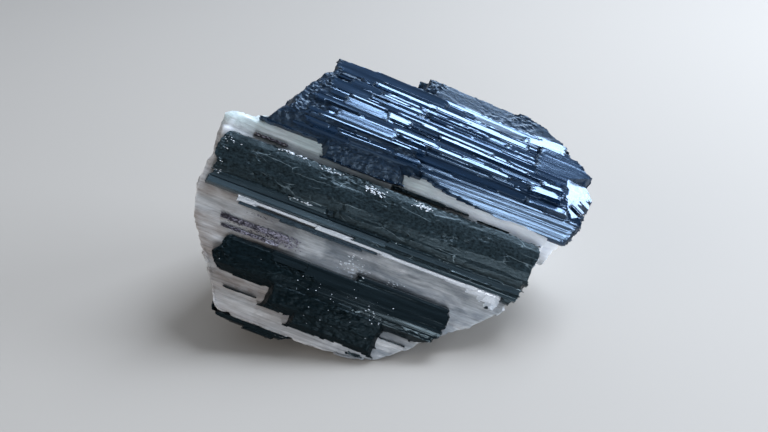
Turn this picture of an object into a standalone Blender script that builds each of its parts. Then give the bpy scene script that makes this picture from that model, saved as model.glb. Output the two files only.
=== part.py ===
"""Black tourmaline with quartz: a hand specimen of milky quartz with long black crystals lying in it.

Run it with: blender --background --python part.py

Everything is modelled in the crystal frame, in millimetres:
    x  along the crystals, from their left end to their right end
    y  up across the broken front face
    z  out of the front face, with the face itself near z = 0
An empty holds that frame at the tilt in which the stone lies: the world's +Z is up and Z = 0 is the table.
"""

import math
import random

import bmesh
import bpy
from mathutils import Euler, Matrix, Vector

MM = 0.001

# How the stone lies: the face leans back, the crystals dip to the right and their right ends come forward.
FACE_LEAN = math.radians(48)
CRYSTAL_DIP = math.radians(17)
CRYSTAL_YAW = math.radians(-12)
FRAME_PLACE = Vector((-3.27, -6.38, 19.55))  # the crystal frame's origin over the table, in millimetres

GAP = 0.35  # clearance between a crystal and the pocket that it fills
END_RAKE = 0.22  # the steepest slope of a crystal's broken end

QUARTZ_COLOUR = (0.55, 0.55, 0.54, 1)
TOURMALINE_COLOUR = (0.010, 0.014, 0.020, 1)
SMOKY_COLOUR = (0.06, 0.045, 0.055, 1)

# Each column is a straight crystal: its left end, its right end, and its section's corners as (y, z).
# Columns that overlap have grown together and are fused into one bundle.
UPPER_COLUMNS = [
    (-25.8, 31.2, [(7.9, -1.6), (8.6, 0.9), (10.6, 2.4), (13.2, 2.2), (14.0, -2.2), (11.0, -3.6)]),
    (1.6, 32.0, [(6.9, -1.4), (7.2, 0.3), (8.9, 1.9), (11.4, 2.3), (12.0, -3.0), (9.0, -3.4)]),
    (-14.9, 1.4, [(5.7, -1.5), (6.1, 0.9), (8.4, 1.9), (11.0, 1.6), (11.5, -2.5), (8.0, -3.0)]),
    (-24.4, 33.9, [(11.2, -3.0), (11.4, 2.3), (12.8, 2.9), (15.4, 1.7), (16.6, -2.0), (14.0, -4.6)]),
    (-22.3, 34.5, [(14.4, -4.4), (14.2, 1.9), (15.8, 1.6), (18.8, -0.2), (19.4, -3.6), (17.0, -6.0)]),
    (-20.4, 34.1, [(17.4, -5.8), (17.2, 0.2), (18.6, 0.5), (21.4, -1.5), (22.0, -5.0), (20.0, -7.4)]),
    (-18.6, 31.4, [(20.2, -7.0), (19.9, -1.6), (21.2, -1.0), (23.7, -2.8), (24.4, -6.2), (22.4, -8.6)]),
    (-17.3, 27.2, [(22.4, -8.4), (22.2, -2.9), (23.4, -2.0), (25.3, -3.6), (26.0, -7.6), (24.6, -9.6)]),
    (-2.2, 21.8, [(24.2, -9.4), (24.0, -3.9), (25.4, -3.2), (27.2, -4.6), (27.4, -8.0), (26.4, -10.0)]),
]
MIDDLE_COLUMNS = [
    (-30.7, 27.4, [(0.2, -2.4), (0.0, 2.7), (2.4, 2.5), (4.1, 1.7), (4.6, 0.4), (4.4, -2.0)]),
    (-31.3, 27.6, [(-3.7, -2.4), (-3.8, 1.6), (-3.0, 2.5), (-0.8, 3.0), (1.6, 2.6), (1.8, -2.6)]),
    (-30.9, 26.2, [(-5.4, -1.6), (-5.5, 0.4), (-5.0, 1.8), (-3.2, 1.1), (-2.6, -2.4), (-4.4, -2.6)]),
    (-1.0, 26.0, [(-6.0, -1.4), (-6.1, 0.3), (-5.7, 1.5), (-4.3, 1.4), (-4.2, -2.2)]),
    (-19.0, -2.5, [(-1.9, 0.6), (-2.4, 2.9), (-0.6, 3.5), (1.9, 3.1), (2.6, 0.8)]),
    (3.5, 21.0, [(-3.6, 0.4), (-3.8, 2.6), (-1.8, 3.4), (0.8, 3.2), (2.2, 0.9)]),
]
LOWER_COLUMNS = [
    (-24.6, 16.6, [(-18.5, -1.8), (-18.7, 0.2), (-17.4, 1.7), (-14.0, 2.0), (-12.1, 1.1), (-12.0, -1.4)]),
    (-15.2, 7.6, [(-21.8, -1.8), (-22.0, 0.5), (-20.6, 1.7), (-17.6, 1.9), (-16.4, -2.0)]),
    (-9.9, 6.2, [(-23.4, -1.6), (-23.5, 0.3), (-22.6, 1.2), (-20.0, 1.7), (-19.8, -1.8)]),
    (-13.2, -1.0, [(-20.0, -0.4), (-20.2, 1.9), (-18.2, 2.6), (-16.0, 2.2), (-15.8, -0.6)]),
    (-2.4, 5.6, [(-22.4, -0.5), (-22.5, 1.6), (-20.6, 2.5), (-18.4, 2.1), (-18.2, -0.4)]),
]
BOTTOM_COLUMNS = [
    (-22.4, -5.9, [(-24.6, 0.1), (-26.4, -0.4), (-25.6, -4.4), (-23.4, -4.6), (-23.2, -2.0)]),
]
BACK_COLUMNS = [
    (-16.5, 19.0, [(14.6, -19.4), (13.8, -22.2), (11.2, -23.4), (8.6, -22.4), (8.4, -19.0), (11.4, -17.6)]),
    (-10.0, 13.5, [(16.8, -17.8), (16.2, -20.2), (14.2, -21.2), (12.6, -20.0), (12.6, -17.4), (14.8, -16.4)]),
]
LEDGE_BLADE = [(-25.5, 1.4, [(-7.5, -1.8), (-7.6, 0.3), (-6.7, 0.6), (-6.5, -1.8)])]
SMOKY_UPPER = [(-26.6, -12.0, [(-10.1, -1.6), (-10.2, 0.3), (-9.3, 0.4), (-9.2, -1.6)])]
SMOKY_LOWER = [(-26.5, -15.0, [(-11.6, -1.6), (-11.6, 0.3), (-11.0, 0.4), (-10.9, -1.6)])]
LEFT_NEEDLE = [(-21.0, -15.9, [(-21.5, -0.9), (-21.5, 0.3), (-21.0, 0.3), (-21.0, -0.9)])]
RIGHT_NEEDLE = [(8.4, 11.8, [(-20.2, -0.9), (-20.2, 0.3), (-19.7, 0.3), (-19.7, -0.9)])]
SEAM_LEFT = [(-26.7, -20.0, [(5.3, -1.4), (5.3, 0.3), (6.1, 0.4), (6.1, -1.4)])]
SEAM_MIDDLE = [(2.4, 14.3, [(5.2, -1.0), (5.2, 0.4), (5.9, 0.4), (5.9, -1.0)])]
SEAM_NEEDLE = [(15.8, 21.8, [(5.1, -0.9), (5.1, 0.3), (5.6, 0.3), (5.6, -0.9)])]

# The crest of the upper bundle, as (y, z), and its broken ends, as (y, x). Thin crystals lie along it.
CREST = [(9.0, 1.2), (12.0, 2.6), (15.8, 1.5), (18.6, 0.4), (21.2, -1.1), (23.6, -2.2), (26.6, -4.0)]
LEFT_ENDS = [(9.0, -25.0), (14.0, -22.6), (19.0, -19.8), (24.4, -17.0), (25.6, -2.0), (28.0, -2.0)]
RIGHT_ENDS = [(9.0, 31.0), (14.0, 33.6), (19.0, 33.2), (22.0, 30.0), (24.4, 26.0), (26.6, 19.0)]
THIN_CRYSTALS = 15
THIN_CRYSTAL_SIZE = (0.75, 1.25)  # least and most half width

CRYSTALS = {
    "upper_tourmaline_bundle": UPPER_COLUMNS,
    "middle_tourmaline_bundle": MIDDLE_COLUMNS,
    "lower_tourmaline_bundle": LOWER_COLUMNS,
    "bottom_tourmaline_blade": BOTTOM_COLUMNS,
    "back_tourmaline_crystal": BACK_COLUMNS,
    "ledge_blade": LEDGE_BLADE,
    "smoky_blade_upper": SMOKY_UPPER,
    "smoky_blade_lower": SMOKY_LOWER,
    "left_needle": LEFT_NEEDLE,
    "right_needle": RIGHT_NEEDLE,
    "seam_blade_left": SEAM_LEFT,
    "seam_blade_middle": SEAM_MIDDLE,
    "seam_needle_right": SEAM_NEEDLE,
}
SMOKY = ("smoky_blade_upper", "smoky_blade_lower", "seam_blade_left")

# The quartz is two blocks grown together. The lower one is a prism behind the front face's outline (x, y).
FRONT_OUTLINE = [
    (-32.6, 6.4),
    (-30.6, 8.1),
    (-25.6, 9.2),
    (31.6, 9.4),
    (31.6, 6.2),
    (27.9, 2.2),
    (25.3, -6.1),
    (21.8, -11.1),
    (16.5, -15.4),
    (12.3, -20.1),
    (8.6, -23.8),
    (4.6, -25.0),
    (-20.6, -25.2),
    (-22.6, -23.9),
    (-24.4, -20.6),
    (-28.6, -15.4),
    (-31.4, -11.0),
    (-32.9, -5.0),
    (-33.4, 1.5),
]
BLOCK_DEPTH = 42.0
# The upper one is a prism along the crystals, under the upper bundle, with its section's corners as (y, z).
SHOULDER_SECTION = [
    (2.0, -6.0),
    (8.9, -1.0),
    (24.6, -7.4),
    (26.6, -11.0),
    (25.0, -18.0),
    (12.0, -28.0),
    (2.0, -28.0),
]
SHOULDER_ENDS = (-27.0, 33.0)
# A crushed ledge of quartz stands out along the middle bundle's lower edge. It is shaped like a crystal.
LEDGE = (2.6, 24.4, [(-8.4, -1.0), (-8.2, 0.2), (-6.9, 1.5), (-6.2, 1.6), (-5.8, -1.0)])

# Each cleave is a point on a plane and the plane's outward direction.
BLOCK_CLEAVES = [
    ((-32.5, -5.0, -2.0), (-0.92, 0.06, -0.38)),  # left end
    ((-27.0, -18.0, -1.0), (-0.80, -0.52, -0.30)),  # left end, lower part
    ((-31.8, 0.0, 0.0), (-0.66, 0.10, 0.74)),  # worn left edge of the front
    ((-28.0, 8.8, -0.3), (-0.20, 0.93, -0.05)),  # roof at the left end
    ((-28.0, 8.2, 0.0), (-0.12, 0.70, 0.70)),  # worn upper edge
    ((0.0, -25.2, -0.6), (0.0, -0.94, -0.34)),  # underside
    ((0.0, -24.5, 0.0), (0.0, -0.66, 0.75)),  # worn lower edge
    ((16.5, -15.4, -0.5), (0.73, -0.66, -0.18)),  # lower right end
    ((27.9, 2.2, -0.5), (0.93, -0.30, -0.22)),  # right end
]
SHOULDER_CLEAVES = [
    ((-24.3, 9.4, -1.0), (-0.84, 0.53, -0.10)),  # left end
    ((31.4, 12.0, -3.0), (0.95, 0.05, -0.31)),  # right end
    ((29.0, 22.0, -6.0), (0.66, 0.68, -0.30)),  # upper right corner
]
BACK_CLEAVES = [
    ((0.0, 10.0, -22.6), (0.05, 0.50, -0.86)),  # back, upper part
    ((0.0, -2.0, -33.0), (0.06, -0.05, -1.00)),  # back, lower part
    ((26.0, 5.0, -16.0), (0.74, 0.12, -0.66)),  # back right corner
    ((-24.0, 0.0, -18.0), (-0.70, 0.10, -0.70)),  # back left corner
    ((-16.0, -20.0, -20.0), (-0.50, -0.62, -0.60)),  # under the left end
]

QUARTZ_GRAIN = 1.3  # the step at which the fused blocks are worn round
QUARTZ_FACETS = 0.16  # the share of that fine surface's faces that stays, as broken facets
RELIEF_HEIGHT = 1.1
RELIEF_MIDDLE = 0.62  # the level of the relief at which the surface stays where it was
RELIEF_SIZE = Vector((14.0, 5.0, 5.0))  # the relief's ridges run along the crystals


def empty_scene():
    """Removes everything that the startup file brings."""
    for thing in list(bpy.data.objects):
        bpy.data.objects.remove(thing)


def new_collection(name):
    made = bpy.data.collections.new(name)
    bpy.context.scene.collection.children.link(made)
    return made


def finish(name, colour, roughness):
    """A plain Principled material for one kind of mineral."""
    made = bpy.data.materials.new(name)
    made.use_nodes = True
    shader = made.node_tree.nodes["Principled BSDF"]
    shader.inputs["Base Color"].default_value = colour
    shader.inputs["Roughness"].default_value = roughness
    made.diffuse_color = colour
    return made


def make_crystal_frame(collection):
    """The empty that everything hangs under: its axes are the crystals' own."""
    made = bpy.data.objects.new("crystal_frame", None)
    made.rotation_euler = (FACE_LEAN, CRYSTAL_DIP, CRYSTAL_YAW)
    made.location = FRAME_PLACE * MM
    collection.objects.link(made)
    return made


def table_plane():
    """The table's surface in the crystal frame: a point on it, and the direction that faces down."""
    turn = Euler((FACE_LEAN, CRYSTAL_DIP, CRYSTAL_YAW)).to_matrix()
    to_frame = (Matrix.Translation(FRAME_PLACE) @ turn.to_4x4()).inverted()
    return to_frame @ Vector((0, 0, 0)), turn.inverted() @ Vector((0, 0, -1))


def add_mesh(name, bm, frame, collection, material=None):
    """Turns a bmesh in crystal-frame millimetres into an object under the crystal frame, in metres."""
    bmesh.ops.recalc_face_normals(bm, faces=bm.faces)
    bmesh.ops.scale(bm, vec=(MM, MM, MM), verts=bm.verts)
    mesh = bpy.data.meshes.new(name)
    bm.to_mesh(mesh)
    bm.free()
    made = bpy.data.objects.new(name, mesh)
    made.parent = frame
    collection.objects.link(made)
    if material:
        mesh.materials.append(material)
    return made


def as_helper(thing):
    """Marks an object as one that only shapes others."""
    thing.hide_render = True
    thing.display_type = "WIRE"


def prism(outline, depth_axis, start, end):
    """A straight prism with a flat outline, along x for (y, z) corners or along z for (x, y) corners."""
    place = {"x": lambda p: (start, p[0], p[1]), "z": lambda p: (p[0], p[1], start)}[depth_axis]
    along = {"x": Vector((1, 0, 0)), "z": Vector((0, 0, 1))}[depth_axis]
    bm = bmesh.new()
    bm.faces.new([bm.verts.new(place(corner)) for corner in outline])
    grown = bmesh.ops.extrude_face_region(bm, geom=bm.faces[:])["geom"]
    tips = [item for item in grown if isinstance(item, bmesh.types.BMVert)]
    bmesh.ops.translate(bm, vec=along * (end - start), verts=tips)
    return bm


def cleave(bm, point, outward):
    """Cuts away what lies beyond a plane, and closes the cut."""
    geometry = bm.verts[:] + bm.edges[:] + bm.faces[:]
    cut = bmesh.ops.bisect_plane(
        bm, geom=geometry, dist=1e-5, plane_co=point, plane_no=outward, clear_outer=True
    )
    rim = [item for item in cut["geom_cut"] if isinstance(item, bmesh.types.BMEdge)]
    bmesh.ops.holes_fill(bm, edges=rim, sides=0)


def widened(outline, by):
    """The outline with every side moved outward by a distance, with sharp corners."""
    corners = [Vector(corner) for corner in outline]
    area = sum(a.cross(b) for a, b in zip(corners, corners[1:] + corners[:1]))
    if area < 0:
        corners.reverse()
    moved = []
    for before, here, after in zip(corners[-1:] + corners[:-1], corners, corners[1:] + corners[:1]):
        into = (here - before).normalized()
        out = (after - here).normalized()
        first = Vector((into.y, -into.x))
        second = Vector((out.y, -out.x))
        moved.append(here + (first + second) * (by / (1 + first.dot(second))))
    return moved


def column(left, right, corners, extra=0.0):
    """One crystal with broken ends. Extra millimetres on every side make the cutter for its pocket."""
    bm = prism(widened(corners, extra), "x", left - 6, right + 6)
    middle = sum((Vector(corner) for corner in corners), Vector((0, 0))) / len(corners)
    for end, side in ((left, -1), (right, 1)):
        rake = Vector((side, END_RAKE * math.sin(5 * end), END_RAKE * math.sin(3 * end))).normalized()
        cleave(bm, Vector((end, *middle)) + rake * extra, rake)
    return bm


def level(line, at):
    """Reads a broken line of (position, value) points at a position."""
    for (start, low), (end, high) in zip(line, line[1:]):
        if at <= end:
            break
    return low + (high - low) * (at - start) / (end - start)


def thin_crystals():
    """The thin crystals on the upper bundle's crest, each of its own width and length, as columns."""
    chance = random.Random(11)
    made = []
    for index in range(THIN_CRYSTALS):
        y = CREST[0][0] + (CREST[-1][0] - CREST[0][0]) * (index + 0.5) / THIN_CRYSTALS
        size = chance.uniform(*THIN_CRYSTAL_SIZE)
        z = level(CREST, y) - 0.35 * size
        turn = chance.uniform(0.0, math.tau / 6)
        corners = [
            (y + size * math.cos(turn + math.tau * k / 6), z + size * math.sin(turn + math.tau * k / 6))
            for k in range(6)
        ]
        left = level(LEFT_ENDS, y) + chance.choice((0.3, 0.9, 2.0, 7.0))
        right = level(RIGHT_ENDS, y) - chance.choice((0.2, 0.8, 3.0, 9.0))
        made.append((left, right, corners))
    return made


def make_crystals(frame, parts, helpers, pockets, materials):
    """Every crystal or bundle: its columns fused into one body, and a slightly larger cutter for each."""
    for name, columns in CRYSTALS.items():
        if name == "upper_tourmaline_bundle":
            columns = columns + thin_crystals()
        material = materials["smoky"] if name in SMOKY else materials["tourmaline"]
        body = add_mesh(name, column(*columns[0]), frame, parts, material)
        if len(columns) > 1:
            others = bpy.data.collections.new(name + " columns")
            helpers.children.link(others)
            for index, spec in enumerate(columns[1:], 2):
                as_helper(add_mesh(f"{name} column {index}", column(*spec), frame, others))
            fuse = body.modifiers.new("grown together", "BOOLEAN")
            fuse.operation = "UNION"
            fuse.operand_type = "COLLECTION"
            fuse.collection = others
        for index, spec in enumerate(columns, 1):
            cutter = column(*spec, extra=GAP)
            as_helper(add_mesh(f"{name} pocket {index}", cutter, frame, pockets))


def quartz_blocks():
    """The two rough blocks that the quartz is made of, cleaved to shape."""
    block = prism(FRONT_OUTLINE, "z", -BLOCK_DEPTH, 0.0)
    shoulder = prism(SHOULDER_SECTION, "x", *SHOULDER_ENDS)
    for cleaves, bm in ((BLOCK_CLEAVES, block), (SHOULDER_CLEAVES, shoulder)):
        for point, outward in cleaves + BACK_CLEAVES:
            cleave(bm, Vector(point), Vector(outward))
    return block, shoulder


def weather(block, frame, collection):
    """Wears the fused blocks round and gives them an uneven, ridged surface of broken facets."""
    wear = block.modifiers.new("worn", "REMESH")
    wear.mode = "VOXEL"
    wear.voxel_size = QUARTZ_GRAIN * MM
    guide = bpy.data.objects.new("relief_guide", None)
    guide.parent = frame
    guide.scale = RELIEF_SIZE * MM
    collection.objects.link(guide)
    ridges = bpy.data.textures.new("ridges", "CLOUDS")
    ridges.noise_scale = 1.0
    relief = block.modifiers.new("relief", "DISPLACE")
    relief.texture = ridges
    relief.texture_coords = "OBJECT"
    relief.texture_coords_object = guide
    relief.strength = RELIEF_HEIGHT * MM
    relief.mid_level = RELIEF_MIDDLE
    facets = block.modifiers.new("facets", "DECIMATE")
    facets.ratio = QUARTZ_FACETS


def rest_on_table(mesh):
    """Cuts the flat place that the stone rests on."""
    bm = bmesh.new()
    bm.from_mesh(mesh)
    bmesh.ops.scale(bm, vec=(1 / MM,) * 3, verts=bm.verts)
    point, down = table_plane()
    cleave(bm, point, down)
    return bm


def make_quartz(frame, parts, helpers, pockets, material):
    """The matrix: two blocks fused and weathered, with a ledge, and a pocket for each crystal."""
    rough_block, rough_shoulder = quartz_blocks()
    block = add_mesh("quartz block", rough_block, frame, helpers)
    shoulder = add_mesh("quartz shoulder", rough_shoulder, frame, helpers)
    ledge = add_mesh("quartz ledge", column(*LEDGE), frame, helpers)
    for helper in (block, shoulder, ledge):
        as_helper(helper)
    fuse = block.modifiers.new("grown together", "BOOLEAN")
    fuse.operation = "UNION"
    fuse.object = shoulder
    weather(block, frame, helpers)
    bpy.context.view_layer.update()
    rough = bpy.data.meshes.new_from_object(block.evaluated_get(bpy.context.evaluated_depsgraph_get()))
    quartz = add_mesh("quartz_matrix", rest_on_table(rough), frame, parts, material)
    grow = quartz.modifiers.new("ledge", "BOOLEAN")
    grow.operation = "UNION"
    grow.object = ledge
    cut = quartz.modifiers.new("pockets", "BOOLEAN")
    cut.operation = "DIFFERENCE"
    cut.operand_type = "COLLECTION"
    cut.collection = pockets


def main():
    empty_scene()
    parts = new_collection("black tourmaline with quartz")
    helpers = new_collection("helpers")
    pockets = new_collection("pocket cutters")
    materials = {
        "quartz": finish("milky quartz", QUARTZ_COLOUR, 0.35),
        "tourmaline": finish("black tourmaline", TOURMALINE_COLOUR, 0.25),
        "smoky": finish("smoky tourmaline", SMOKY_COLOUR, 0.3),
    }
    frame = make_crystal_frame(parts)
    make_crystals(frame, parts, helpers, pockets, materials)
    make_quartz(frame, parts, helpers, pockets, materials["quartz"])


main()
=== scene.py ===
# %% [markdown]
# # Black tourmaline with quartz
#
# A hand specimen from a quartz vein: milky quartz with long crystals of black tourmaline (schorl) frozen in
# it side by side. The stone was split along the crystals, so its front face shows them as parallel bands.
#
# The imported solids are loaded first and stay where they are. The quartz and every crystal are worked out
# again in the crystals' own frame, in millimetres, with far more detail, and then stand for their solids.

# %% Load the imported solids
import itertools
import math
import random
from collections import namedtuple

import bmesh
import bpy
import numpy as np
from mathutils import Euler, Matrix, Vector
from mathutils.bvhtree import BVHTree


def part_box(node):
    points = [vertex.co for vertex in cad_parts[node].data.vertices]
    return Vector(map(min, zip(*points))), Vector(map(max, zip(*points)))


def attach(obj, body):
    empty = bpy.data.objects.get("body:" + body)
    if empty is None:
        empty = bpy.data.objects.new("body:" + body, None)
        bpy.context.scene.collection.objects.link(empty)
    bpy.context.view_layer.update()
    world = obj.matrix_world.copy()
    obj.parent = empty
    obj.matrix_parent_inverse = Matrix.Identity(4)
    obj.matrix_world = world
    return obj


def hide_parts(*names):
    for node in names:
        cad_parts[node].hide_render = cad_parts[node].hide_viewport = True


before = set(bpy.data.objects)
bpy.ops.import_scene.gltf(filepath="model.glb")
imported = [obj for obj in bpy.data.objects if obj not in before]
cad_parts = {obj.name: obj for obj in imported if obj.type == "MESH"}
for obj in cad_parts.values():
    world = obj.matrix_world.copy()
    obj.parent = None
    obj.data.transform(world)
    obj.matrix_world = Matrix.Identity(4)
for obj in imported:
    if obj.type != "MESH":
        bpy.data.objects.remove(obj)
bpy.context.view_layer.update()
print("nodes:", ", ".join(sorted(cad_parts)))

# %% [markdown]
# ## The crystal frame
#
# All crystals in the stone run the same way, so everything is easier to say along them: x runs along the
# crystals, y up across the broken face, z out of it. The stone lies with that face leaning back and the
# crystals dipping to the right. One matrix holds that tilt. Each mesh is worked out along the crystals and
# then turned into place, and every texture is mapped back along them.

# %% The crystal frame
MM = 0.001
FACE_LEAN = math.radians(48)
CRYSTAL_DIP = math.radians(17)
CRYSTAL_YAW = math.radians(-12)
FRAME_PLACE = Vector((-3.27, -6.38, 19.55))  # its origin over the floor, in millimetres

CRYSTAL_TILT = Euler((FACE_LEAN, CRYSTAL_DIP, CRYSTAL_YAW))
CRYSTAL_TURN = CRYSTAL_TILT.to_matrix()


def into_place(points):
    """Rows of crystal-frame millimetres, as metres over the floor."""
    return (points @ np.array(CRYSTAL_TURN).T + np.array(FRAME_PLACE)) * MM


def add_object(name, data):
    """A new object, linked into the scene."""
    made = bpy.data.objects.new(name, data)
    bpy.context.scene.collection.objects.link(made)
    return made


print("the crystals point along", [round(share, 2) for share in CRYSTAL_TURN.col[0]])

# %% [markdown]
# ## Camera, floor and light
#
# The stone is seen from a hand's width away, looking 35 degrees down. Black glassy crystal shows little but
# what it reflects, so the lamps matter more than its colour. One broad, cool window light, high behind the
# stone on the right, draws the streaks on the upper crystals, and a panel at the right lights that end. A
# weak warm lamp from the front left keeps the dull faces readable, a low one in front catches the lower
# edges, and a pale floor lights the stone from below.

# %% Camera
VIEW_DOWN = math.radians(35)
VIEW_DISTANCE = 112.0
LENS = 30.0  # with Blender's sensor of 36 mm


def look_from_front():
    """The camera, held level and aimed at the crystal frame's origin."""
    lens = bpy.data.cameras.new("camera")
    lens.lens = LENS
    lens.clip_start = 5 * MM
    made = add_object("camera", lens)
    backwards = Vector((0, -math.cos(VIEW_DOWN), math.sin(VIEW_DOWN)))
    made.location = (FRAME_PLACE + VIEW_DISTANCE * backwards) * MM
    made.rotation_euler = (math.pi / 2 - VIEW_DOWN, 0, 0)
    bpy.context.scene.camera = made


look_from_front()
print("camera:", VIEW_DISTANCE, "mm from the stone")

# %% [markdown]
# Every finish below is a few nodes, so some short helpers do the wiring. A link may come from a socket or
# simply from a node, which then stands for the first output that it has in use.

# %% Colours and nodes
def linear(hex_colour):
    """An sRGB hex colour as the linear RGBA that shaders take."""
    channels = [int(hex_colour[i : i + 2], 16) / 255 for i in (1, 3, 5)]
    return [c / 12.92 if c <= 0.04045 else ((c + 0.055) / 1.055) ** 2.4 for c in channels] + [1.0]


def fill_sockets(tree, node, links, values):
    """Links and sets a node's sockets, by name or number."""
    for name, value in values.items():
        node.inputs[name].default_value = value
    for name, source in links.items():
        if isinstance(source, bpy.types.Node):
            source = next(output for output in source.outputs if output.enabled)
        tree.links.new(source, node.inputs[name])


def add_node(tree, kind, links=None, values=None, **settings):
    """Adds one node, by the short name of its kind, with its settings, and fills its sockets."""
    made = tree.nodes.new("ShaderNode" + kind)
    for name, value in settings.items():
        setattr(made, name, value)
    fill_sockets(tree, made, links or {}, values or {})
    return made


def new_material(name):
    """An empty Principled material: the material, its node tree and its shader."""
    made = bpy.data.materials.new(name)
    made.use_nodes = True
    return made, made.node_tree, made.node_tree.nodes["Principled BSDF"]

# %% Lamps
LAMPS = [  # each lamp's name, place and width in millimetres, watts and colour
    ("window", (225, 222, 455), 280, 4.2, "#E2EEFF"),
    ("side_panel", (450, 60, 130), 240, 2.6, "#E2EEFF"),
    ("front_fill", (-420, -160, 240), 260, 0.4, "#FFF8F0"),
    ("low_front", (30, -350, 66), 110, 0.52, "#F2F6FF"),
]
LAMP_AIM = Vector((0, 0, 15))


def softbox(name, place, width, watts, colour):
    """A square area light, aimed at the stone."""
    lamp = bpy.data.lights.new(name, "AREA")
    lamp.size = width * MM
    lamp.energy = watts
    lamp.color = linear(colour)[:3]
    made = add_object(name, lamp)
    made.location = Vector(place) * MM
    made.rotation_euler = (Vector(place) - LAMP_AIM).to_track_quat("Z", "Y").to_euler()


for lamp_row in LAMPS:
    softbox(*lamp_row)
print("lamps:", ", ".join(row[0] for row in LAMPS))

# %% Room and floor
WINDOW_WAY = (0.20, 0.72, 0.66)  # the direction in which the room is brightest
FLOOR_REACH = 4.0  # how far the floor goes to each side, in metres


def light_the_room():
    """A dim room that brightens upwards and towards the window behind the stone."""
    world = bpy.context.scene.world or bpy.data.worlds.new("studio")
    bpy.context.scene.world = world
    world.use_nodes = True
    tree = world.node_tree
    direction = add_node(tree, "TexCoord").outputs["Generated"]
    towards = add_node(tree, "VectorMath", {0: direction}, {1: WINDOW_WAY}, operation="DOT_PRODUCT")
    bright = add_node(tree, "MapRange", {"Value": towards},
                      {"From Min": -0.35, "To Min": 0.02, "To Max": 0.75})
    fill_sockets(tree, tree.nodes["Background"], {"Strength": bright}, {"Color": linear("#D9E5F5")})


def lay_floor():
    """A wide, pale, plain floor."""
    bm = bmesh.new()
    bmesh.ops.create_grid(bm, x_segments=1, y_segments=1, size=FLOOR_REACH)
    mesh = bpy.data.meshes.new("floor")
    bm.to_mesh(mesh)
    bm.free()
    material, tree, shader = new_material("studio floor")
    fill_sockets(tree, shader, {}, {"Base Color": linear("#A8A29A"), "Roughness": 0.75})
    mesh.materials.append(material)
    add_object("floor", mesh)


light_the_room()
bpy.context.scene.view_settings.view_transform = "Standard"
lay_floor()
print("floor:", 2 * FLOOR_REACH, "metres wide, in a dim room")

# %% [markdown]
# ## Repeatable chance
#
# A broken mineral needs random detail that is the same on every run. A lattice of cells in millimetres, each
# with a number hashed from its place, gives that without a random generator's state. From it come two kinds
# of relief: smooth swells, which can be stretched into the striations along a crystal, and flakes, small flat
# faces at odd tilts, which is what a glassy mineral breaks into.

# %% Swells and flakes
def ramp(value, start, end):
    """0 before start, 1 after end, and an even climb between."""
    return np.clip((value - start) / (end - start), 0, 1)


def line_at(line, place):
    """The second coordinate of a line of points, at each place along its first."""
    return np.interp(place, *zip(*line))


SEED_STEP = 40503
AXIS_PRIMES = (73856093, 19349663, 83492791)
MIXER = np.uint64(6364136223846793005)


def chance_at(cells, seed):
    """A repeatable random number from 0 to 1 for each lattice cell."""
    mixed = np.full(cells.shape[:-1], seed * SEED_STEP + 1, dtype=np.uint64)
    for axis in range(cells.shape[-1]):
        mixed = (mixed ^ (cells[..., axis].astype(np.uint64) * np.uint64(AXIS_PRIMES[axis]))) * MIXER
        mixed ^= mixed >> np.uint64(29)
    return (mixed >> np.uint64(40)).astype(float) / 2**24


def swell(points, cell, seed):
    """Smooth bumps between -1 and 1. The cell is their size along each axis."""
    place = points / np.asarray(cell, float)
    whole = np.floor(place).astype(np.int64)
    part = place - whole
    ease = part * part * (3 - 2 * part)
    total = np.zeros(points.shape[:-1])
    for corner in itertools.product((0, 1), repeat=points.shape[-1]):
        weight = np.prod(np.where(np.array(corner, bool), ease, 1 - ease), axis=-1)
        total += weight * chance_at(whole + np.array(corner), seed)
    return 2 * total - 1


def flakes(points, cell, seed, tilt=1.0):
    """Small flat faces, each at its own level and tilt, between about -1 and 1."""
    place = points / np.asarray(cell, float)
    whole = np.floor(place).astype(np.int64)
    nearest = np.full(points.shape[:-1], np.inf)
    level = np.zeros(points.shape[:-1])
    for step in itertools.product((-1, 0, 1), repeat=points.shape[-1]):
        cells = whole + np.array(step)
        own = 2 * chance_at(cells, seed) - 1
        gap = np.zeros(nearest.shape)
        for axis in range(points.shape[-1]):
            away = place[..., axis] - cells[..., axis] - chance_at(cells, seed + 11 + axis)
            gap += away * away
            own += tilt * (2 * chance_at(cells, seed + 31 + axis) - 1) * away
        closer = gap < nearest
        level = np.where(closer, own, level)
        nearest = np.where(closer, gap, nearest)
    return level

# %% [markdown]
# ## How a bundle of crystals is made
#
# Tourmaline grows as long prisms with many narrow faces, packed beside each other like pencils, and it breaks
# across them in steps. Modelling every pencil and joining them all would be slow, and a plain displaced block
# would show no steps. So a bundle is a sheet: over a fine grid along and across the crystals, the highest
# crystal gives the upper surface and the lowest one the underside, and the two close where the crystals end.
# Each crystal is a flat-sided section with its own ends, its own slight drift, and its own finish: striated
# where it grew, flaked where it broke.

# %% One crystal
# Its two ends along x, the (across, out) corners of its section, how broken it is (0 where it grew, 1 where
# it broke, more where it crumbles), how steeply its ends close, and how far its top rises per millimetre.
Crystal = namedtuple("Crystal", "left right corners broken steep rise", defaults=(0.0, 7.0, 0.0))


def section_span(corners, at):
    """The lowest and highest point of a section above each place across it."""
    low = np.full(at.shape, np.inf)
    high = np.full(at.shape, -np.inf)
    for (start, first), (end, last) in zip(corners, corners[1:] + corners[:1]):
        if abs(end - start) < 1e-6:
            continue
        share = (at - start) / (end - start)
        on_side = (share >= 0) & (share <= 1)
        here = first + (last - first) * share
        low = np.where(on_side, np.minimum(low, here), low)
        high = np.where(on_side, np.maximum(high, here), high)
    return low, high

# %% The sheet of a bundle
# At each spot: its (x, y), the crystals' top and foot, whether there is one, how broken it is, and how close
# to its end the spot lies.
Sheet = namedtuple("Sheet", "spots top foot present broken near_end")

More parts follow.
